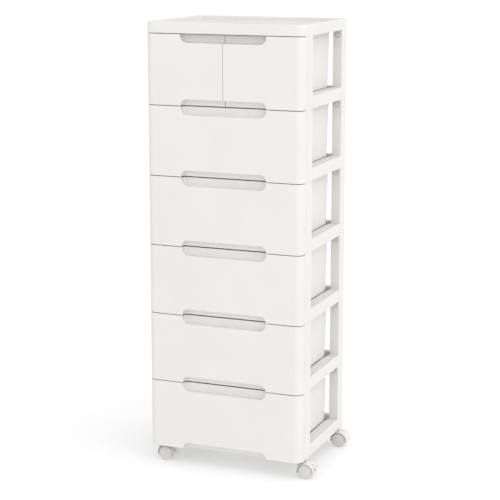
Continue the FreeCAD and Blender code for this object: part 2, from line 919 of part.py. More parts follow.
def build_hood(label, x, y, has_brake):
    """Twin-wheel hood. Its own origin is on the floor, below the stem."""
    body = new_body(label)
    centre = wheel_radius
    width = size("hood_half_width")

    shell = new_sketch(body, "shell_sketch", "XZ_Plane")
    draw_circle(shell, trail, centre, hood_outer)
    pad(body, "shell", shell, width * 2, both_ways=True)
    fillet(
        body,
        "shell_edges",
        size("hood_edge_radius"),
        lambda edge: lies_at(edge, y=width) or lies_at(edge, y=-width),
    )
    for name, offset, against in (("front", width, False), ("rear", -width, True)):
        wheel_well = new_sketch(body, f"{name}_well_sketch", "XZ_Plane", offset)
        draw_circle(wheel_well, trail, centre, hood_inner)
        pocket(body, f"{name}_wheel_well", wheel_well, width - hub_half, against=against)
    skirt = new_sketch(body, "skirt_sketch", "XZ_Plane")
    draw_rectangle(
        skirt,
        trail - hood_outer - overrun,
        trail + hood_outer + overrun,
        centre - hood_outer - overrun,
        centre - size("hood_skirt_drop"),
    )
    pocket(body, "open_bottom", skirt, width * 2 + overrun * 2, both_ways=True)

    boss_foot = centre - size("hood_skirt_drop")
    boss = new_sketch(body, "boss_sketch", offset=boss_foot)
    draw_circle(boss, ZERO, ZERO, hub_half)
    pad(body, "stem_boss", boss, boss_top - boss_foot)
    collar = new_sketch(body, "collar_sketch", offset=boss_top)
    draw_circle(collar, ZERO, ZERO, size("hood_collar_radius"))
    pad(body, "collar", collar, size("hood_collar_height"), against=True)
    bore = new_sketch(body, "bore_sketch", offset=boss_top)
    draw_circle(bore, ZERO, ZERO, size("stem_radius") + size("turning_clearance"))
    stem_end = clearance - size("stem_drop") - size("axle_end_gap")
    pocket(body, "stem_bore", bore, boss_top - stem_end)

    axle_hole = new_sketch(body, "axle_hole_sketch", "XZ_Plane")
    draw_circle(axle_hole, trail, centre, size("axle_radius"))
    pocket(body, "axle_hole", axle_hole, width * 2, both_ways=True)

    if has_brake:
        slot = new_sketch(body, "brake_slot_sketch", "XZ_Plane")
        draw_rectangle(
            slot,
            trail + size("brake_slot_start"),
            trail + hood_outer + overrun,
            centre - size("hood_skirt_drop") - overrun,
            centre + size("brake_slot_top"),
        )
        slot_width = size("brake_width") + size("brake_side_gap") * 2
        pocket(body, "brake_slot", slot, slot_width, both_ways=True)
        pin = new_sketch(body, "brake_pin_hole_sketch", "XZ_Plane")
        draw_circle(
            pin,
            trail + size("brake_pivot_reach"),
            centre + size("brake_pivot_rise"),
            size("brake_pin_radius") + size("turning_clearance"),
        )
        pocket(body, "brake_pin_hole", pin, width * 2, both_ways=True)
    place(body, x, y)
    return body


def build_brake(label, x, y):
    """Foot lever with its own trunnions. Its origin is that of the hood."""
    body = new_body(label)
    centre = wheel_radius

    def reach(name):
        return trail + size(name)

    lever = new_sketch(body, "lever_sketch", "XZ_Plane")
    draw_outline(
        lever,
        [
            (reach("brake_inner_reach"), centre + size("brake_top_rise")),
            (
                reach("brake_inner_reach"),
                centre + size("brake_pivot_rise") - (size("brake_pivot_reach")
                                                     - size("brake_inner_reach")),
            ),
            (
                reach("brake_heel_reach") - size("brake_heel_width"),
                centre - size("brake_heel_drop"),
            ),
            (reach("brake_heel_reach"), centre - size("brake_heel_drop")),
            (
                reach("brake_tip_reach"),
                centre + size("brake_top_rise") - size("brake_tip_thickness"),
            ),
            (reach("brake_tip_reach"), centre + size("brake_top_rise")),
        ],
    )
    width = size("brake_width")
    pad(body, "lever", lever, width, both_ways=True)
    fillet(
        body,
        "lever_edges",
        size("brake_edge_radius"),
        lambda edge: touches(edge, y=width / 2)
        and touches(edge, y=-width / 2)
        and not lies_at(edge, x=reach("brake_tip_reach")),
    )
    hole = new_sketch(body, "tab_hole_sketch", "XZ_Plane")
    draw_circle(
        hole,
        reach("brake_hole_reach"),
        centre + size("brake_hole_rise"),
        size("brake_hole_radius"),
    )
    pocket(body, "tab_hole", hole, width * 2, both_ways=True)
    pin = new_sketch(body, "trunnion_sketch", "XZ_Plane")
    draw_circle(
        pin,
        reach("brake_pivot_reach"),
        centre + size("brake_pivot_rise"),
        size("brake_pin_radius"),
    )
    trunnion_length = size("hub_width") - size("brake_side_gap") * 2
    pad(body, "trunnions", pin, trunnion_length, both_ways=True)
    place(body, x, y)
    return body


def build_wheel(label, x, y, is_rear):
    """One wheel of a pair, turned about its own axle line, with a blind bore."""
    body = new_body(label)
    width = size("wheel_width")
    bore = size("axle_radius") + size("turning_clearance")
    groove_outer = wheel_radius - size("wheel_groove_inset")
    groove_inner = groove_outer - size("wheel_groove_width")
    groove_floor = width - size("wheel_groove_depth")
    depth = size("wheel_bore_depth")
    profile = new_sketch(body, "profile_sketch", "YZ_Plane")
    draw_outline(
        profile,
        [
            (ZERO, bore),
            (ZERO, wheel_radius),
            (width, wheel_radius),
            (width, groove_outer),
            (groove_floor, groove_outer),
            (groove_floor, groove_inner),
            (width, groove_inner),
            (width + size("wheel_dome"), ZERO),
            (depth, ZERO),
            (depth, bore),
        ],
    )
    wheel = body.newObject("PartDesign::Revolution", "wheel")
    wheel.Profile = profile
    wheel.ReferenceAxis = (profile, ["H_Axis"])
    wheel.Angle = 360.0
    fillet(
        body,
        "tread_edges",
        size("wheel_edge_radius"),
        lambda edge: (lies_at(edge, y=ZERO) or lies_at(edge, y=width))
        and edge.BoundBox.ZMax > groove_outer.number + SIZES["pick_reach"],
    )
    offset = hub_half + size("wheel_side_gap")
    if is_rear:
        place(body, x + trail, y + offset, wheel_radius)
    else:
        place(body, x + trail, y - offset, wheel_radius, half_turn=True)
    return body


def build_axle(label, x, y):
    """Steel pin through the hub, short of the wheels' bore ends."""
    body = new_body(label)
    half_length = (
        hub_half
        + size("wheel_side_gap")
        + size("wheel_bore_depth")
        - size("axle_end_gap")
    )
    sketch = new_sketch(body, "axle_sketch", "XZ_Plane")
    draw_circle(sketch, ZERO, ZERO, size("axle_radius"))
    pad(body, "axle", sketch, half_length * 2, both_ways=True)
    place(body, x + trail, y, wheel_radius)
    return body


# The whole cabinet


def build_all():
    pieces = [build_cover()]
    for tier in range(TIER_COUNT):
        name = "base_frame" if tier == 0 else f"tier_frame_{tier}"
        pieces.append(build_frame(name, tier))
    for tier in range(TIER_COUNT):
        for is_rear, end in ((False, "front"), (True, "rear")):
            for is_right, hand in ((False, "left"), (True, "right")):
                label = f"post_{tier + 1}_{end}_{hand}"
                pieces.append(build_post(label, tier, is_right, is_rear))

    scoop_half = size("scoop_length") / 2
    stop = size("stop_offset")
    full_front = (-half_width, half_width)
    full_top = (-box_side_top, box_side_top)
    full_bottom = (-box_side_bottom, box_side_bottom)
    full_scoop = (-scoop_half, scoop_half)
    for tier in range(SPLIT_TIER):
        pieces.append(
            build_drawer(
                f"drawer_{tier + 1}",
                tier,
                full_front,
                full_top,
                full_bottom,
                full_scoop,
                (-stop, stop),
            )
        )
    inner_lip = size("divider_thickness") / 2 + size("lip_to_post_gap")
    inner_top = inner_lip + size("lip_width")
    inner_bottom = inner_top + size("box_side_draft")
    half_stop = (inner_bottom + box_side_bottom) / 2
    left_edge = -half_seam
    pieces.append(
        build_drawer(
            "small_drawer_left",
            SPLIT_TIER,
            (-half_width, left_edge),
            (-box_side_top, -inner_top),
            (-box_side_bottom, -inner_bottom),
            (-scoop_half, left_edge),
            (-half_stop,),
        )
    )
    pieces.append(
        build_drawer(
            "small_drawer_right",
            SPLIT_TIER,
            (half_seam, half_width),
            (inner_top, box_side_top),
            (inner_bottom, box_side_bottom),
            (half_seam, scoop_half),
            (half_stop,),
        )
    )
    pieces.append(build_divider())

    pieces.append(build_stems())
    for is_rear, end in ((False, "front"), (True, "rear")):
        for is_right, hand in ((False, "left"), (True, "right")):
            name = f"{end}_{hand}"
            x = stem_x if is_right else -stem_x
            y = stem_y if is_rear else -stem_y
            pieces.append(build_hood(f"caster_hood_{name}", x, y, not is_rear))
            pieces.append(build_axle(f"caster_axle_{name}", x, y))
            pieces.append(build_wheel(f"caster_wheel_{name}_a", x, y, False))
            pieces.append(build_wheel(f"caster_wheel_{name}_b", x, y, True))
            if not is_rear:
                pieces.append(build_brake(f"brake_lever_{name}", x, y))
    return pieces


def check(pieces):
    """Stops before anything is written if an object failed or a piece is not valid."""
    failed = [
        item.Label
        for item in doc.Objects
        if "Invalid" in item.State or "Error" in item.State
    ]
    for piece in pieces:
        if piece.Shape.isNull() or not piece.Shape.isValid() or not piece.Shape.Solids:
            failed.append(piece.Label)
    if failed:
        raise RuntimeError(f"these objects failed: {failed}")


pieces = build_all()
doc.recompute()
check(pieces)
os.makedirs("parts", exist_ok=True)
for piece in pieces:
    piece.Shape.exportStep(f"parts/{piece.Label}.step")
print(f"wrote {len(pieces)} pieces")
travel = box_rear_bottom - size("stop_setback") - size("stop_thickness") - front_bar_rear
print(f"drawer travel to its stop: {travel.number:.1f} mm")
print(f"tray floor height: {(cabinet_top + cover_underside + wall).number:.1f} mm")
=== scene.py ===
"""Finishes, moulded detail, stage and camera for a white drawer tower on casters."""

import math

import bmesh
import bpy
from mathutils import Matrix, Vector


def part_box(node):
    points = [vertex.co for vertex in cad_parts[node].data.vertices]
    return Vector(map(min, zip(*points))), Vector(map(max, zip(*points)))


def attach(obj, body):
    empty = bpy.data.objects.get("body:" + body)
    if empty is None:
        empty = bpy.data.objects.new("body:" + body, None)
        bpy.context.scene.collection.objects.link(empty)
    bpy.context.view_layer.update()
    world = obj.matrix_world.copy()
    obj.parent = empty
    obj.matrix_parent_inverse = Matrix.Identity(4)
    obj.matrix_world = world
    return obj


bl_info = {
    "name": "Drawer Tower",
    "version": (1, 0, 0),
    "blender": (4, 5, 0),
    "location": "3D View > Sidebar > Drawer Tower",
    "description": "Finishes a white drawer tower, adds its moulded detail and sets its stage",
    "category": "Object",
}

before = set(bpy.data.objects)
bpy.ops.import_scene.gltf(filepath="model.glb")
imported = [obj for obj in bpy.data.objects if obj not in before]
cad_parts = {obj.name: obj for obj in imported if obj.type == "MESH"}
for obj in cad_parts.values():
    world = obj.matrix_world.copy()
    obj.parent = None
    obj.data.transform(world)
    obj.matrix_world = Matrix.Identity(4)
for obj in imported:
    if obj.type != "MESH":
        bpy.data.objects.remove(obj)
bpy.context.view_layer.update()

ROOT_BODY = "cabinet"
DRAWERS = [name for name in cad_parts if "drawer" in name]
FRAMES = sorted(
    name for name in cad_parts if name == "base_frame" or name.startswith("tier_frame")
)
POSTS = [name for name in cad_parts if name.startswith("post_")]
HOODS = [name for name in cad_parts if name.startswith("caster_hood")]
LEVERS = [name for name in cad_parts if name.startswith("brake_lever")]
WHEELS = [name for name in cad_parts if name.startswith("caster_wheel")]
AXLES = [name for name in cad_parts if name.startswith("caster_axle")]
STEELS = AXLES + ["caster_stems"]
CASTER_WHITES = HOODS + LEVERS

# How far a rib is sunk into the wall that carries it, in metres
SUNK = 0.001
# Corners nearer than this are one corner, in metres
JOIN_DISTANCE = 0.00001
# Faces that meet more steeply than this keep a crisp edge
CREASE_ANGLE = math.radians(28)
MARK_SIDES = 24
GUSSET_CORNER_STEPS = 6
FLOOR_SIDES = 96

# Roughness of each finish, at its smoothest and its roughest spots
DRAWER_ROUGHNESS = (0.44, 0.52)
FRAME_ROUGHNESS = (0.48, 0.58)
HOOD_ROUGHNESS = (0.28, 0.36)
WHEEL_ROUGHNESS = (0.40, 0.52)
STEEL_ROUGHNESS = (0.28, 0.42)
# The drawers' grain is this share as deep as the frames'
DRAWER_GRAIN = 0.5
FRAME_GRAIN = 1.0
# The nylon's fine grain is this many times finer than its clouding
GRAIN_PER_CLOUD = 12
# Where the two colours of a moulding start and stop blending, as shares of the noise
BLEND_START = 0.35
BLEND_END = 0.65
# Width of one band of a wave texture whose scale is 1
WAVE_BAND = math.pi / 10


def hex_colour(code):
    """A colour written as sRGB hex, such as #EFEFEC, made linear by the sRGB curve."""
    channels = [int(code[i : i + 2], 16) / 255 for i in (1, 3, 5)]
    linear = [c / 12.92 if c <= 0.04045 else ((c + 0.055) / 1.055) ** 2.4 for c in channels]
    return (*linear, 1.0)


def length(name, text, default):
    return bpy.props.FloatProperty(
        name=name, description=text, default=default, min=0.0, subtype="DISTANCE", unit="LENGTH"
    )


def angle(name, text, degrees):
    return bpy.props.FloatProperty(
        name=name,
        description=text,
        default=math.radians(degrees),
        subtype="ANGLE",
        unit="ROTATION",
    )


def direction(azimuth, elevation):
    """From the tower outwards: azimuth runs from the front round to the right."""
    level = math.cos(elevation)
    return Vector((math.sin(azimuth) * level, -math.cos(azimuth) * level, math.sin(elevation)))


def strength(name, text, default):
    return bpy.props.FloatProperty(name=name, description=text, default=default, min=0.0)


def colour(name, text, code):
    return bpy.props.FloatVectorProperty(
        name=name,
        description=text,
        default=hex_colour(code),
        size=4,
        min=0.0,
        max=1.0,
        subtype="COLOR",
    )


class TowerFinishes(bpy.types.PropertyGroup):
    """Colours and surface sizes of the tower's plastics and steel."""

    moulding_light: colour("Moulding, light", "White of the mouldings, clear resin", "#DBDAD8")
    moulding_dark: colour("Moulding, dark", "White of the mouldings, denser resin", "#D9D8D6")
    hood_light: colour("Hood, light", "White of the caster hoods and brake levers", "#DBDAD8")
    hood_dark: colour("Hood, dark", "Denser white of the caster hoods and brake levers", "#D6D5D3")
    wheel_light: colour("Wheel, light", "Pale grey of the caster wheels", "#CECDCB")
    wheel_dark: colour("Wheel, dark", "Denser grey of the caster wheels", "#C5C4C2")
    steel_light: colour("Steel, light", "Bright zinc on the stems and axles", "#C9CACC")
    steel_dark: colour("Steel, dark", "Duller zinc on the stems and axles", "#A9AAAD")
    flow_size: length("Flow size", "Width of the cloudy flow marks in the mouldings", 0.120)
    grain_size: length("Grain size", "Pitch of the spark-eroded grain on the mouldings", 0.0012)
    grain_depth: length("Grain depth", "Depth of the spark-eroded grain", 0.00002)
    wave_size: length("Wave size", "Width of the slow waves that a cooled flat wall keeps", 0.070)
    wave_depth: length("Wave depth", "Depth of the slow waves", 0.00002)
    wheel_rib_pitch: length("Wheel rib pitch", "Pitch of the fine ribs across a wheel", 0.0036)
    wheel_rib_depth: length("Wheel rib depth", "Depth of the fine ribs across a wheel", 0.0002)
    wheel_rib_slant: angle("Wheel rib slant", "How far the fine ribs across a wheel lean", -40.0)
    wheel_cloud_size: length("Wheel cloud size", "Width of the faint clouding in the wheels", 0.009)
    hood_cloud_size: length("Hood cloud size", "Width of the faint clouding in the hoods", 0.012)
    nylon_grain_depth: length("Nylon grain depth", "Depth of the fine grain on the nylon", 0.00001)
    mottle_size: length("Mottle size", "Width of the mottling in the zinc plating", 0.003)


class TowerDetail(bpy.types.PropertyGroup):
    """Sizes of the hollows under the mouldings, and of the ribs, webs and marks in them."""

    wall: length("Wall", "Wall of the mouldings", 0.0024)
    rail_width: length("Rail width", "Width of a frame's side rail", 0.029)
    rail_height: length("Rail height", "Height of a frame's rails", 0.032)
    runner_width: length("Runner width", "Width of the runner inside a rail", 0.025)
    runner_height: length("Runner height", "Height of the runners and of the front bar", 0.0175)
    rear_bar_depth: length("Rear bar depth", "Depth of a frame's rear bar", 0.019)
    front_bar_depth: length("Front bar depth", "Depth of a frame's front bar", 0.024)
    centre_bar_width: length("Centre bar width", "Width of the bar under the divider", 0.064)
    tray_depth: length("Tray depth", "Depth of the cover's tray", 0.009)
    front_corner: length("Front corner", "Outer corner radius of the fronts", 0.020)
    box_draft: length("Box draft", "How far a drawer's side leans in from rim to floor", 0.0045)
    floor_height: length("Floor height", "From a front's lower edge to its box's underside", 0.0189)
    glide_reach: length("Glide reach", "From a box's outer side to its glide's inner side", 0.022)
    stop_reach: length("Stop reach", "From a drawer's rear edge to the front of its stops", 0.0323)
    lip_reach: length("Lip reach", "From a post's inner side to a box's outer side", 0.0025)
    middle_lip: length("Middle lip", "From the middle to the inner lip of a small drawer", 0.0015)
    front_gap: length("Front gap", "Gap between a front and the frame behind it", 0.0004)
    web_gap: length("Web gap", "Room left between a rib and what moves past it", 0.0005)
    web_thickness: length("Web thickness", "Thickness of ribs and webs", 0.0014)
    rail_rib_spacing: length("Rail rib spacing", "Pitch of the cross ribs under the rails", 0.024)
    bar_rib_spacing: length("Bar rib spacing", "Pitch of the cross ribs under the bars", 0.036)
    cover_rib_spacing: length("Cover rib spacing", "Pitch of the ribs under the cover", 0.046)
    cover_rib_height: length("Cover rib height", "Height of the ribs under the cover", 0.006)
    floor_rib_spacing: length("Floor rib spacing", "Pitch of the ribs under a drawer", 0.040)
    floor_rib_height: length("Floor rib height", "Height of the ribs under a drawer", 0.0012)
    gusset_spacing: length("Gusset spacing", "Pitch of the gussets behind a front's ends", 0.035)
    gusset_start: length("Gusset start", "Height of the lowest gusset on a front", 0.060)
    gusset_reach: length("Gusset reach", "How far the gussets reach inwards past the posts", 0.006)
    top_scoop: length("Top scoop", "Height of the scoop in a front's upper edge", 0.021)
    bottom_scoop: length("Bottom scoop", "Height of the scoop in a front's lower edge", 0.0165)
    bead_reach: length("Bead reach", "How far a bead narrows the small fronts' gap", 0.0004)
    bead_setback: length("Bead setback", "From a small front's face to its bead", 0.0005)
    mark_radius: length("Mark radius", "Radius of the ejector marks on a drawer's floor", 0.004)
    mark_height: length("Mark height", "Height of the ejector marks", 0.0002)
    mark_spacing: length("Mark spacing", "Pitch of the ejector marks", 0.060)


class TowerStage(bpy.types.PropertyGroup):
    """Floor, light and camera round the tower."""

    floor: colour("Floor", "Pale floor, which is lit from below too", "#C9C9C9")
    floor_glow: strength("Floor glow", "Strength of the floor's own light", 0.39)
    floor_radius: length("Floor radius", "Radius of the studio floor", 60.0)
    sky_bright: strength("Bright side", "Strength of the studio light where it is brightest", 1.635)
    sky_dim: strength("Dim side", "Strength of the studio light opposite its bright side", 0.555)
    sky_azimuth: angle("Bright side azimuth", "How far it stands round to the right", 58.0)
    sky_elevation: angle("Bright side elevation", "How high it stands", 5.0)
    key_power: bpy.props.FloatProperty(
        name="Key light",
        description="Power of the soft box, front right",
        default=8.0,
        min=0.0,
        subtype="POWER",
        unit="POWER",
    )
    key_azimuth: angle("Key azimuth", "How far the soft box stands round to the right", 49.0)
    key_elevation: angle("Key elevation", "How high the soft box stands", 38.0)
    key_distance: length("Key distance", "From the soft box to the tower's middle", 3.2)
    key_width: length("Key width", "Width of the soft box", 3.4)
    key_height: length("Key height", "Height of the soft box", 2.8)
    camera_azimuth: angle("Camera azimuth", "How far the camera stands round to the right", 21.90)
    camera_elevation: angle("Camera elevation", "How far the camera looks down", 11.08)
    camera_distance: length("Camera distance", "From the camera to the tower's middle", 3.926)
    camera_side: length("Aim, side", "How far right of the middle the camera aims", 0.006)
    camera_height: length("Aim, height", "Height on the tower that the camera aims at", 0.6035)
    camera_lens: bpy.props.FloatProperty(
        name="Lens",
        description="Focal length of the camera",
        default=108.58,
        min=1.0,
        unit="CAMERA",
    )
    camera_shift: bpy.props.FloatProperty(
        name="Shift",
        description="Upright shift of the view as a share of its width",
        default=-0.040,
    )


# Nodes for materials and shapes


def add_node(tree, kind, links=None, **settings):
    """Adds a node. links gives its inputs, by name or number, a value or another node's output."""
    node = tree.nodes.new(kind)
    for name, value in settings.items():
        setattr(node, name, value)
    for entry, source in (links or {}).items():
        socket = node.inputs[entry]
        if isinstance(source, bpy.types.NodeSocket):
            tree.links.new(source, socket)
        else:
            socket.default_value = source
    return node


def new_material(name):
    material = bpy.data.materials.new(name)
    material.use_nodes = True
    material.node_tree.nodes.clear()
    return material, material.node_tree


def finish_material(tree, shader):
    add_node(tree, "ShaderNodeOutputMaterial", {"Surface": shader.outputs["BSDF"]})


def noise(tree, size_m, detail=2.0, seed=0.0):
    """Noise whose features are about size_m across, in the piece's own coordinates."""
    place = add_node(tree, "ShaderNodeTexCoord")
    shifted = add_node(
        tree,
        "ShaderNodeMapping",
        {"Vector": place.outputs["Object"], "Location": (seed, seed, seed)},
    )
    return add_node(
        tree,
        "ShaderNodeTexNoise",
        {"Vector": shifted.outputs["Vector"], "Scale": 1.0 / size_m, "Detail": detail},
    ).outputs["Fac"]


def blend_colours(tree, amount, first, second):
    """A colour that goes from the first to the second as the amount rises."""
    ramp = add_node(tree, "ShaderNodeValToRGB", {"Fac": amount})
    ramp.color_ramp.elements[0].position = BLEND_START
    ramp.color_ramp.elements[0].color = first
    ramp.color_ramp.elements[1].position = BLEND_END
    ramp.color_ramp.elements[1].color = second
    return ramp.outputs["Color"]


def vary(tree, amount, low, high):
    """Carries an amount of 0 to 1 over to low to high."""
    return add_node(
        tree, "ShaderNodeMapRange", {"Value": amount, "To Min": low, "To Max": high}
    ).outputs["Result"]


def bump(tree, height, depth_m, under=None):
    """The normal of a face raised by up to depth_m, on top of another normal if given."""
    links = {"Height": height, "Distance": depth_m, "Strength": 1.0}
    if under is not None:
        links["Normal"] = under
    return add_node(tree, "ShaderNodeBump", links).outputs["Normal"]


def moulded_polypropylene(name, finishes, roughness, grain_share):
    """Injection-moulded polypropylene: a satin white with a fine spark-eroded grain, cloudy flow
    marks and the slow waves of a cooled wall. The grain is drawn about four times as coarse as the
    real one, so that it shows."""
    material, tree = new_material(name)
    flow = noise(tree, finishes.flow_size, detail=3.0)
    grain = noise(tree, finishes.grain_size, detail=1.0, seed=3.1)
    wave = noise(tree, finishes.wave_size, detail=0.0, seed=7.7)
    waves = bump(tree, wave, finishes.wave_depth)
    white = blend_colours(tree, flow, finishes.moulding_dark, finishes.moulding_light)
    shader = add_node(
        tree,
        "ShaderNodeBsdfPrincipled",
        {
            "Base Color": white,
            "Roughness": vary(tree, grain, *roughness),
            "Normal": bump(tree, grain, finishes.grain_depth * grain_share, under=waves),
            "IOR": 1.49,
            "Subsurface Weight": 0.06,
            "Subsurface Radius": (1.0, 0.95, 0.85),
            "Subsurface Scale": 0.002,
        },
    )
    finish_material(tree, shader)
    return material


def slanting_ribs(tree, finishes):
    """The normal of a wheel's face, with fine parallel ribs that run aslant across it."""
    place = add_node(tree, "ShaderNodeTexCoord")
    turned = add_node(
        tree,
        "ShaderNodeMapping",
        {"Vector": place.outputs["Object"], "Rotation": (0.0, finishes.wheel_rib_slant, 0.0)},
    )
    wave = add_node(
        tree,
        "ShaderNodeTexWave",
        {"Vector": turned.outputs["Vector"], "Scale": WAVE_BAND / finishes.wheel_rib_pitch},
    )
    return bump(tree, wave.outputs["Fac"], finishes.wheel_rib_depth)


def moulded_nylon(name, finishes, dark, light, cloud_size, roughness, ribbed=False):
    """Moulded nylon: harder and a little glossier than the mouldings, with faint clouding. The
    wheels' nylon is ribbed too."""
    material, tree = new_material(name)
    cloud = noise(tree, cloud_size, detail=3.0, seed=1.3)
    grain = noise(tree, cloud_size / GRAIN_PER_CLOUD, detail=1.0, seed=5.9)
    ribs = slanting_ribs(tree, finishes) if ribbed else None
    shader = add_node(
        tree,
        "ShaderNodeBsdfPrincipled",
        {
            "Base Color": blend_colours(tree, cloud, dark, light),
            "Roughness": vary(tree, grain, *roughness),
            "Normal": bump(tree, grain, finishes.nylon_grain_depth, under=ribs),
            "IOR": 1.53,
        },
    )
    finish_material(tree, shader)
    return material


def zinc_plated_steel(name, finishes):
    """Turned steel with a bright, mottled zinc plating."""
    material, tree = new_material(name)
    mottle = noise(tree, finishes.mottle_size, detail=4.0, seed=2.2)
    shader = add_node(
        tree,
        "ShaderNodeBsdfPrincipled",
        {
            "Base Color": blend_colours(tree, mottle, finishes.steel_dark, finishes.steel_light),
            "Roughness": vary(tree, mottle, *STEEL_ROUGHNESS),
            "Metallic": 1.0,
        },
    )
    finish_material(tree, shader)
    return material


def even_surface_tree():
    """Joins a moulding's loose triangles and shades its round faces smooth and its edges crisp."""
    tree = bpy.data.node_groups.new("even_surface", "GeometryNodeTree")
    tree.interface.new_socket("Geometry", in_out="INPUT", socket_type="NodeSocketGeometry")
    for name, value in (("Join Distance", JOIN_DISTANCE), ("Crease Angle", CREASE_ANGLE)):
        socket = tree.interface.new_socket(name, in_out="INPUT", socket_type="NodeSocketFloat")
        socket.default_value = value
    tree.interface.new_socket("Geometry", in_out="OUTPUT", socket_type="NodeSocketGeometry")
    entry = add_node(tree, "NodeGroupInput")
    joined = add_node(
        tree,
        "GeometryNodeMergeByDistance",
        {"Geometry": entry.outputs["Geometry"], "Distance": entry.outputs["Join Distance"]},
    )
    smooth = add_node(
        tree,
        "GeometryNodeSetShadeSmooth",
        {"Geometry": joined.outputs["Geometry"], "Shade Smooth": True},
    )
    edge_angle = add_node(tree, "GeometryNodeInputMeshEdgeAngle")
    is_edge = add_node(
        tree,
        "FunctionNodeCompare",
        {0: edge_angle.outputs["Unsigned Angle"], 1: entry.outputs["Crease Angle"]},
        data_type="FLOAT",
        operation="GREATER_THAN",
    )
    crisp = add_node(
        tree,
        "GeometryNodeSetShadeSmooth",
        {
            "Geometry": smooth.outputs["Geometry"],
            "Selection": is_edge.outputs["Result"],
            "Shade Smooth": False,
        },
        domain="EDGE",
    )
    add_node(tree, "NodeGroupOutput", {"Geometry": crisp.outputs["Geometry"]})
    return tree


def dress(names, material, tree):
    """Gives CAD nodes one material and the even surface."""
    for name in names:
        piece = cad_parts[name]
        piece.data.materials.clear()
        piece.data.materials.append(material)
        piece.modifiers.new("even_surface", "NODES").node_group = tree


# Ribs, webs and marks by Geometry Nodes


def open_tree(name, *sockets):
    """A new tree and its input node, with an input for each pair of a name and a kind."""
    tree = bpy.data.node_groups.new(name, "GeometryNodeTree")
    for entry, kind in sockets:
        tree.interface.new_socket(entry, in_out="INPUT", socket_type=kind)
    tree.interface.new_socket("Geometry", in_out="OUTPUT", socket_type="NodeSocketGeometry")
    return tree, add_node(tree, "NodeGroupInput")


def close_tree(tree, entry, instances):
    """Makes the instances real, gives them the material and ends the tree."""
    real = add_node(tree, "GeometryNodeRealizeInstances", {"Geometry": instances})
    painted = add_node(
        tree,
        "GeometryNodeSetMaterial",
        {"Geometry": real.outputs["Geometry"], "Material": entry.outputs["Material"]},
    )
    add_node(tree, "NodeGroupOutput", {"Geometry": painted.outputs["Geometry"]})
    return tree


def rib_field_tree():
    """A rectangular field of ribs: Columns stand side by side along X, Rows along Y."""
    tree, entry = open_tree(
        "rib_field",
        ("Centre", "NodeSocketVector"),
        ("Size", "NodeSocketVector"),
        ("Columns", "NodeSocketInt"),
        ("Rows", "NodeSocketInt"),
        ("Thickness", "NodeSocketFloat"),
        ("Material", "NodeSocketMaterial"),
    )
    size = add_node(tree, "ShaderNodeSeparateXYZ", {"Vector": entry.outputs["Size"]})
    x, y, z = (size.outputs[axis] for axis in "XYZ")
    thickness = entry.outputs["Thickness"]

    def calculate(operation, first, second):
        return add_node(
            tree, "ShaderNodeMath", {0: first, 1: second}, operation=operation
        ).outputs["Value"]

    def row(count, span, rib, along_x):
        step = calculate("DIVIDE", span, calculate("ADD", count, 1.0))
        first = calculate("SUBTRACT", step, calculate("MULTIPLY", span, 0.5))
        axis = "X" if along_x else "Y"
        start = add_node(tree, "ShaderNodeCombineXYZ", {axis: first})
        offset = add_node(tree, "ShaderNodeCombineXYZ", {axis: step})
        line = add_node(
            tree,
            "GeometryNodeMeshLine",
            {
                "Count": count,
                "Start Location": start.outputs["Vector"],
                "Offset": offset.outputs["Vector"],
            },
            mode="OFFSET",
        )
        return add_node(
            tree,
            "GeometryNodeInstanceOnPoints",
            {"Points": line.outputs["Mesh"], "Instance": rib.outputs["Mesh"]},
        )

    column_size = add_node(tree, "ShaderNodeCombineXYZ", {"X": thickness, "Y": y, "Z": z})
    column = add_node(tree, "GeometryNodeMeshCube", {"Size": column_size.outputs["Vector"]})
    cross_size = add_node(tree, "ShaderNodeCombineXYZ", {"X": x, "Y": thickness, "Z": z})
    cross = add_node(tree, "GeometryNodeMeshCube", {"Size": cross_size.outputs["Vector"]})
    columns = row(entry.outputs["Columns"], x, column, along_x=True)
    rows = row(entry.outputs["Rows"], y, cross, along_x=False)
    both = add_node(tree, "GeometryNodeJoinGeometry")
    tree.links.new(columns.outputs["Instances"], both.inputs["Geometry"])
    tree.links.new(rows.outputs["Instances"], both.inputs["Geometry"])
    placed = add_node(
        tree,
        "GeometryNodeTransform",
        {"Geometry": both.outputs["Geometry"], "Translation": entry.outputs["Centre"]},
    )
    return close_tree(tree, entry, placed.outputs["Geometry"])


def mark_field_tree():
    """A rectangular field of low round marks, such as ejector pins leave."""
    tree, entry = open_tree(
        "mark_field",
        ("Centre", "NodeSocketVector"),
        ("Width", "NodeSocketFloat"),
        ("Depth", "NodeSocketFloat"),
        ("Columns", "NodeSocketInt"),
        ("Rows", "NodeSocketInt"),
        ("Radius", "NodeSocketFloat"),
        ("Height", "NodeSocketFloat"),
        ("Material", "NodeSocketMaterial"),
    )
    grid = add_node(
        tree,
        "GeometryNodeMeshGrid",
        {
            "Size X": entry.outputs["Width"],
            "Size Y": entry.outputs["Depth"],
            "Vertices X": entry.outputs["Columns"],
            "Vertices Y": entry.outputs["Rows"],
        },
    )
    mark = add_node(
        tree,
        "GeometryNodeMeshCylinder",
        {
            "Vertices": MARK_SIDES,
            "Radius": entry.outputs["Radius"],
            "Depth": entry.outputs["Height"],
        },
    )
    marks = add_node(
        tree,
        "GeometryNodeInstanceOnPoints",
        {"Points": grid.outputs["Mesh"], "Instance": mark.outputs["Mesh"]},
    )
    placed = add_node(
        tree,
        "GeometryNodeTransform",
        {"Geometry": marks.outputs["Instances"], "Translation": entry.outputs["Centre"]},
    )
    return close_tree(tree, entry, placed.outputs["Geometry"])


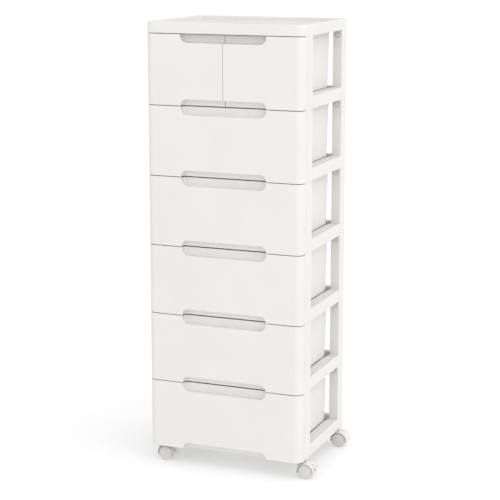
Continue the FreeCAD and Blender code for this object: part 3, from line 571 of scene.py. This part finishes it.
def evaluate(tree, inputs):
    """The plain mesh that a Geometry Nodes tree makes with these named inputs."""
    carrier = bpy.data.objects.new("carrier", bpy.data.meshes.new("carrier"))
    bpy.context.scene.collection.objects.link(carrier)
    modifier = carrier.modifiers.new("tree", "NODES")
    modifier.node_group = tree
    identifiers = {
        item.name: item.identifier
        for item in tree.interface.items_tree
        if item.item_type == "SOCKET" and item.in_out == "INPUT"
    }
    for name, value in inputs.items():
        modifier[identifiers[name]] = value
    carrier.update_tag()
    graph = bpy.context.evaluated_depsgraph_get()
    mesh = bpy.data.meshes.new_from_object(carrier.evaluated_get(graph), depsgraph=graph)
    bpy.data.objects.remove(carrier)
    return mesh


def add_piece(name, meshes, material, body):
    """Joins meshes into one finished piece that rides on a body."""
    combined = bmesh.new()
    for mesh in meshes:
        combined.from_mesh(mesh)
        bpy.data.meshes.remove(mesh)
    data = bpy.data.meshes.new(name)
    combined.to_mesh(data)
    combined.free()
    data.materials.clear()
    data.materials.append(material)
    piece = bpy.data.objects.new(name, data)
    bpy.context.scene.collection.objects.link(piece)
    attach(piece, body)
    return piece


def rib_field(tree, low, high, column_spacing, row_spacing, thickness, material):
    """Ribs that fill the box from low to high. A spacing of None leaves that direction out."""
    low = Vector(low) - Vector((SUNK, SUNK, 0.0))
    high = Vector(high) + Vector((SUNK, SUNK, SUNK))
    size = high - low
    columns = 0 if column_spacing is None else max(1, round(size.x / column_spacing) - 1)
    rows = 0 if row_spacing is None else max(1, round(size.y / row_spacing) - 1)
    return evaluate(
        tree,
        {
            "Centre": (high + low) / 2,
            "Size": size,
            "Columns": columns,
            "Rows": rows,
            "Thickness": thickness,
            "Material": material,
        },
    )


def gusset_stack_tree():
    """Flat gussets stacked along Z, each with one round corner, as behind the end of a front."""
    tree, entry = open_tree(
        "gusset_stack",
        ("Width", "NodeSocketFloat"),
        ("Depth", "NodeSocketFloat"),
        ("Corner Radius", "NodeSocketFloat"),
        ("Corner", "NodeSocketInt"),
        ("Thickness", "NodeSocketFloat"),
        ("Start", "NodeSocketVector"),
        ("Spacing", "NodeSocketFloat"),
        ("Count", "NodeSocketInt"),
        ("Material", "NodeSocketMaterial"),
    )
    outline = add_node(
        tree,
        "GeometryNodeCurvePrimitiveQuadrilateral",
        {"Width": entry.outputs["Width"], "Height": entry.outputs["Depth"]},
    )
    index = add_node(tree, "GeometryNodeInputIndex")
    is_corner = add_node(
        tree,
        "FunctionNodeCompare",
        {2: index.outputs["Index"], 3: entry.outputs["Corner"]},
        data_type="INT",
        operation="EQUAL",
    )
    radius = add_node(
        tree,
        "ShaderNodeMath",
        {0: is_corner.outputs["Result"], 1: entry.outputs["Corner Radius"]},
        operation="MULTIPLY",
    )
    rounded = add_node(
        tree,
        "GeometryNodeFilletCurve",
        {
            "Curve": outline.outputs["Curve"],
            "Count": GUSSET_CORNER_STEPS,
            "Radius": radius.outputs["Value"],
        },
        mode="POLY",
    )
    face = add_node(
        tree, "GeometryNodeFillCurve", {"Curve": rounded.outputs["Curve"]}, mode="NGONS"
    )
    body = add_node(
        tree,
        "GeometryNodeExtrudeMesh",
        {
            "Mesh": face.outputs["Mesh"],
            "Offset Scale": entry.outputs["Thickness"],
            "Individual": False,
        },
    )
    underside = add_node(tree, "GeometryNodeFlipFaces", {"Mesh": face.outputs["Mesh"]})
    both = add_node(tree, "GeometryNodeJoinGeometry")
    tree.links.new(body.outputs["Mesh"], both.inputs["Geometry"])
    tree.links.new(underside.outputs["Mesh"], both.inputs["Geometry"])
    gusset = add_node(
        tree,
        "GeometryNodeMergeByDistance",
        {"Geometry": both.outputs["Geometry"], "Distance": JOIN_DISTANCE},
    )
    offset = add_node(tree, "ShaderNodeCombineXYZ", {"Z": entry.outputs["Spacing"]})
    line = add_node(
        tree,
        "GeometryNodeMeshLine",
        {
            "Count": entry.outputs["Count"],
            "Start Location": entry.outputs["Start"],
            "Offset": offset.outputs["Vector"],
        },
        mode="OFFSET",
    )
    stack = add_node(
        tree,
        "GeometryNodeInstanceOnPoints",
        {"Points": line.outputs["Mesh"], "Instance": gusset.outputs["Geometry"]},
    )
    return close_tree(tree, entry, stack.outputs["Instances"])


# One operator for each group of pieces


class TOWER_OT_finish_mouldings(bpy.types.Operator):
    """Gives the cover, frames, posts, drawers and divider their moulded white"""

    bl_idname = "tower.finish_mouldings"
    bl_label = "Finish Mouldings"

    def execute(self, context):
        finishes = context.scene.tower_finishes
        tree = even_surface_tree()
        smooth = moulded_polypropylene(
            "polypropylene_satin_drawer", finishes, DRAWER_ROUGHNESS, DRAWER_GRAIN
        )
        grained = moulded_polypropylene(
            "polypropylene_grained_frame", finishes, FRAME_ROUGHNESS, FRAME_GRAIN
        )
        dress(DRAWERS + ["top_cover"], smooth, tree)
        dress(FRAMES + POSTS + ["center_divider"], grained, tree)
        return {"FINISHED"}


class TOWER_OT_finish_casters(bpy.types.Operator):
    """Gives the casters their white hoods, pale grey wheels and steel"""

    bl_idname = "tower.finish_casters"
    bl_label = "Finish Casters"

    def execute(self, context):
        finishes = context.scene.tower_finishes
        tree = even_surface_tree()
        white = moulded_nylon(
            "nylon_white_hood",
            finishes,
            finishes.hood_dark,
            finishes.hood_light,
            finishes.hood_cloud_size,
            HOOD_ROUGHNESS,
        )
        grey = moulded_nylon(
            "nylon_grey_wheel",
            finishes,
            finishes.wheel_dark,
            finishes.wheel_light,
            finishes.wheel_cloud_size,
            WHEEL_ROUGHNESS,
            ribbed=True,
        )
        steel = zinc_plated_steel("zinc_plated_steel", finishes)
        dress(CASTER_WHITES, white, tree)
        dress(WHEELS, grey, tree)
        dress(STEELS, steel, tree)
        return {"FINISHED"}


class TOWER_OT_add_frame_ribs(bpy.types.Operator):
    """Fills the hollow undersides of the frames and the cover with ribs, as one piece"""

    bl_idname = "tower.add_frame_ribs"
    bl_label = "Add Frame Ribs"

    def execute(self, context):
        detail = context.scene.tower_detail
        tree = rib_field_tree()
        material = bpy.data.materials["polypropylene_grained_frame"]
        meshes = []
        for name in FRAMES:
            meshes += self.fill_frame(detail, tree, material, name)
        meshes += self.fill_cover(detail, tree, material)
        add_piece("moulded_ribs", meshes, material, ROOT_BODY)
        return {"FINISHED"}

    def fill_frame(self, detail, tree, material, name):
        """Cross ribs under a frame's rails, runners and bars."""
        low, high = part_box(name)
        row = 1 + FRAMES.index(name)
        front_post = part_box(f"post_{row}_front_right")
        rear_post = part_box(f"post_{row}_rear_right")
        wall = detail.wall
        base = front_post[0].z - detail.rail_height
        rail_inner = high.x - detail.rail_width
        runner_inner = rail_inner - detail.runner_width
        front, rear = front_post[1].y + wall, rear_post[0].y - wall
        rail_top = base + detail.rail_height - wall
        runner_top = base + detail.runner_height - wall
        foot = base + detail.web_gap
        fields = []
        for side in (1, -1):
            rail = sorted((side * (rail_inner + wall), side * (high.x - wall)))
            runner = sorted((side * (runner_inner + wall), side * rail_inner))
            fields.append((rail, (front, rear), rail_top, None, detail.rail_rib_spacing))
            fields.append((runner, (front, rear), runner_top, None, detail.rail_rib_spacing))
        rear_side = rear_post[0].x - wall
        rear_bar = (high.y - detail.rear_bar_depth + wall, high.y - wall)
        fields.append(((-rear_side, rear_side), rear_bar, rail_top, detail.bar_rib_spacing, None))
        front_bar = (low.y + wall, low.y + detail.front_bar_depth - wall)
        fields.append(
            ((-runner_inner, runner_inner), front_bar, runner_top, detail.bar_rib_spacing, None)
        )
        if name == FRAMES[-1]:
            half = detail.centre_bar_width / 2 - wall
            centre_bar = (low.y + detail.front_bar_depth, high.y - detail.rear_bar_depth)
            fields.append(((-half, half), centre_bar, runner_top, None, detail.bar_rib_spacing))
        return [
            rib_field(
                tree,
                (x[0], y[0], foot),
                (x[1], y[1], top),
                columns,
                rows,
                detail.web_thickness,
                material,
            )
            for x, y, top, columns, rows in fields
        ]

    def fill_cover(self, detail, tree, material):
        """Ribs both ways under the cover, on each side of the divider."""
        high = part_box("top_cover")[1]
        roof = high.z - detail.tray_depth - detail.wall
        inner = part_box("post_1_rear_right")[0].x - detail.wall
        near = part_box("center_divider")[1].x
        depth = high.y - detail.wall
        meshes = []
        for side in (1, -1):
            x = sorted((side * near, side * inner))
            meshes.append(
                rib_field(
                    tree,
                    (x[0], -depth, roof - detail.cover_rib_height),
                    (x[1], depth, roof),
                    detail.cover_rib_spacing,
                    detail.cover_rib_spacing,
                    detail.web_thickness,
                    material,
                )
            )
        return meshes


class TOWER_OT_add_drawer_detail(bpy.types.Operator):
    """Adds floor ribs, gussets and ejector marks, as one piece for each drawer"""

    bl_idname = "tower.add_drawer_detail"
    bl_label = "Add Drawer Detail"

    def execute(self, context):
        detail = context.scene.tower_detail
        ribs, gussets, marks = rib_field_tree(), gusset_stack_tree(), mark_field_tree()
        material = bpy.data.materials["polypropylene_satin_drawer"]
        for name in DRAWERS:
            meshes = self.floor(detail, name, ribs, marks, material)
            meshes += self.ends(detail, name, gussets, material)
            meshes += self.bead(detail, name, ribs, material)
            add_piece(f"{name}_webs", meshes, material, name)
        return {"FINISHED"}

    def box_sides(self, detail, name):
        """The outer sides of the drawer's box at its floor, from left to right."""
        low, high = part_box(name)
        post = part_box("post_1_rear_right")[0].x
        lean = detail.lip_reach + detail.box_draft
        left = -post + lean if low.x < -post else detail.middle_lip + lean
        right = post - lean if high.x > post else -detail.middle_lip - lean
        return left, right

    def floor(self, detail, name, ribs, marks, material):
        """Low ribs under a drawer's floor, and the ejector marks on it."""
        low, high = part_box(name)
        left, right = self.box_sides(detail, name)
        underside = low.z + detail.floor_height
        reach = detail.glide_reach
        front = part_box("tier_frame_1")[0].y
        rear = high.y - detail.stop_reach
        under = rib_field(
            ribs,
            (left + reach, front, underside - detail.floor_rib_height),
            (right - reach, rear, underside),
            detail.floor_rib_spacing,
            detail.floor_rib_spacing,
            detail.web_thickness,
            material,
        )
        margin = 2 * reach
        width = right - left - 2 * margin
        depth = rear - front - 2 * margin
        # Each mark is sunk by half its height
        marked = evaluate(
            marks,
            {
                "Centre": Vector(((left + right) / 2, (front + rear) / 2, underside + detail.wall)),
                "Width": width,
                "Depth": depth,
                "Columns": 1 + round(width / detail.mark_spacing),
                "Rows": 1 + round(depth / detail.mark_spacing),
                "Radius": detail.mark_radius,
                "Height": 2 * detail.mark_height,
                "Material": material,
            },
        )
        return [under, marked]

    def bead(self, detail, name, ribs, material):
        """An upright bead that narrows the gap between the fronts of the two small drawers."""
        low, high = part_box(name)
        if low.x < 0.0 < high.x:
            return []
        side, edge = (-1, high.x) if high.x < 0.0 else (1, low.x)
        foot = Vector((edge - side * detail.bead_reach, low.y + detail.bead_setback, low.z))
        foot.z += detail.bottom_scoop
        far = Vector((edge + side * detail.wall / 2, low.y + detail.wall, high.z))
        far.z -= detail.top_scoop
        size = Vector([abs(extent) for extent in far - foot])
        bead = evaluate(
            ribs,
            {
                "Centre": (foot + far) / 2,
                "Size": size,
                "Columns": 1,
                "Rows": 0,
                "Thickness": size.x,
                "Material": material,
            },
        )
        return [bead]

    def ends(self, detail, name, gussets, material):
        """Gussets behind each round end of a drawer's front."""
        low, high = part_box(name)
        wall = detail.wall
        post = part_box("post_1_rear_right")[0].x
        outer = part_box("top_cover")[1].x
        meshes = []
        # A plate's front right corner is its point 3, and its front left one is its point 2
        for side, corner in ((1, 3), (-1, 2)):
            edge = high.x if side > 0 else -low.x
            if edge < post:
                continue
            inner = post - detail.gusset_reach
            width = outer - wall / 2 - inner
            front = low.y + wall / 2
            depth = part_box("tier_frame_1")[0].y - detail.front_gap - front
            foot = low.z + detail.gusset_start
            count = int((high.z - foot) / detail.gusset_spacing)
            meshes.append(
                evaluate(
                    gussets,
                    {
                        "Width": width,
                        "Depth": depth,
                        "Corner Radius": detail.front_corner - wall / 2,
                        "Corner": corner,
                        "Thickness": detail.web_thickness,
                        "Start": Vector((side * (inner + width / 2), front + depth / 2, foot)),
                        "Spacing": detail.gusset_spacing,
                        "Count": count,
                        "Material": material,
                    },
                )
            )
        return meshes


class TOWER_OT_set_stage(bpy.types.Operator):
    """Lays the pale floor and sets the soft light and the camera"""

    bl_idname = "tower.set_stage"
    bl_label = "Set Stage"

    def execute(self, context):
        stage = context.scene.tower_stage
        self.lay_floor(context, stage)
        self.light(context, stage)
        self.aim_camera(context, stage)
        return {"FINISHED"}

    def lay_floor(self, context, stage):
        disc = bmesh.new()
        bmesh.ops.create_circle(
            disc, cap_ends=True, segments=FLOOR_SIDES, radius=stage.floor_radius
        )
        data = bpy.data.meshes.new("studio_floor")
        disc.to_mesh(data)
        disc.free()
        material, tree = new_material("studio_paper")
        shader = add_node(
            tree,
            "ShaderNodeBsdfPrincipled",
            {
                "Base Color": stage.floor,
                "Roughness": 0.9,
                "Specular IOR Level": 0.0,
                "Emission Color": (1, 1, 1, 1),
                "Emission Strength": stage.floor_glow,
            },
        )
        finish_material(tree, shader)
        data.materials.append(material)
        floor = bpy.data.objects.new("studio_floor", data)
        context.scene.collection.objects.link(floor)

    def light(self, context, stage):
        """A studio that is brighter towards one side, and a weak large soft box."""
        context.scene.view_settings.view_transform = "Standard"
        world = bpy.data.worlds.new("studio_light")
        context.scene.world = world
        world.use_nodes = True
        tree = world.node_tree
        tree.nodes.clear()
        place = add_node(tree, "ShaderNodeTexCoord")
        facing = add_node(
            tree,
            "ShaderNodeVectorMath",
            {0: place.outputs["Generated"], 1: direction(stage.sky_azimuth, stage.sky_elevation)},
            operation="DOT_PRODUCT",
        )
        brightness = add_node(
            tree,
            "ShaderNodeMapRange",
            {
                "Value": facing.outputs["Value"],
                "From Min": -1.0,
                "To Min": stage.sky_dim,
                "To Max": stage.sky_bright,
            },
        )
        glow = add_node(
            tree,
            "ShaderNodeBackground",
            {"Color": (1, 1, 1, 1), "Strength": brightness.outputs["Result"]},
        )
        add_node(tree, "ShaderNodeOutputWorld", {"Surface": glow.outputs["Background"]})

        lamp = bpy.data.lights.new("key_light", "AREA")
        lamp.shape = "RECTANGLE"
        lamp.size = stage.key_width
        lamp.size_y = stage.key_height
        lamp.energy = stage.key_power
        key = bpy.data.objects.new("key_light", lamp)
        key.visible_camera = False
        self.stand(context, key, stage, stage.key_azimuth, stage.key_elevation, stage.key_distance)

    def aim_camera(self, context, stage):
        data = bpy.data.cameras.new("camera")
        data.lens = stage.camera_lens
        data.shift_y = stage.camera_shift
        camera = bpy.data.objects.new("camera", data)
        self.stand(
            context,
            camera,
            stage,
            stage.camera_azimuth,
            stage.camera_elevation,
            stage.camera_distance,
        )
        context.scene.camera = camera

    def stand(self, context, item, stage, azimuth, elevation, distance):
        """Puts a lamp or the camera round the tower and turns it to the point aimed at."""
        aim = Vector((stage.camera_side, 0.0, stage.camera_height))
        item.location = aim + direction(azimuth, elevation) * distance
        item.rotation_euler = (math.pi / 2 - elevation, 0.0, azimuth)
        context.scene.collection.objects.link(item)


class TOWER_PT_panel(bpy.types.Panel):
    """Lists the tower's steps and sizes in the sidebar"""

    bl_idname = "TOWER_PT_panel"
    bl_label = "Drawer Tower"
    bl_space_type = "VIEW_3D"
    bl_region_type = "UI"
    bl_category = "Drawer Tower"

    def draw(self, context):
        for operator in OPERATORS:
            self.layout.operator(operator.bl_idname)
        for name, group in GROUPS.items():
            box = self.layout.box()
            for entry in group.__annotations__:
                box.prop(getattr(context.scene, name), entry)


OPERATORS = (
    TOWER_OT_finish_mouldings,
    TOWER_OT_finish_casters,
    TOWER_OT_add_frame_ribs,
    TOWER_OT_add_drawer_detail,
    TOWER_OT_set_stage,
)
GROUPS = {
    "tower_finishes": TowerFinishes,
    "tower_detail": TowerDetail,
    "tower_stage": TowerStage,
}
CLASSES = (*GROUPS.values(), *OPERATORS, TOWER_PT_panel)


def register():
    for item in CLASSES:
        bpy.utils.register_class(item)
    for name, group in GROUPS.items():
        setattr(bpy.types.Scene, name, bpy.props.PointerProperty(type=group))


def unregister():
    for name in GROUPS:
        delattr(bpy.types.Scene, name)
    for item in reversed(CLASSES):
        bpy.utils.unregister_class(item)


def main():
    register()
    bpy.ops.tower.finish_mouldings()
    bpy.ops.tower.finish_casters()
    bpy.ops.tower.add_frame_ribs()
    bpy.ops.tower.add_drawer_detail()
    bpy.ops.tower.set_stage()


if __name__ == "__main__":
    main()
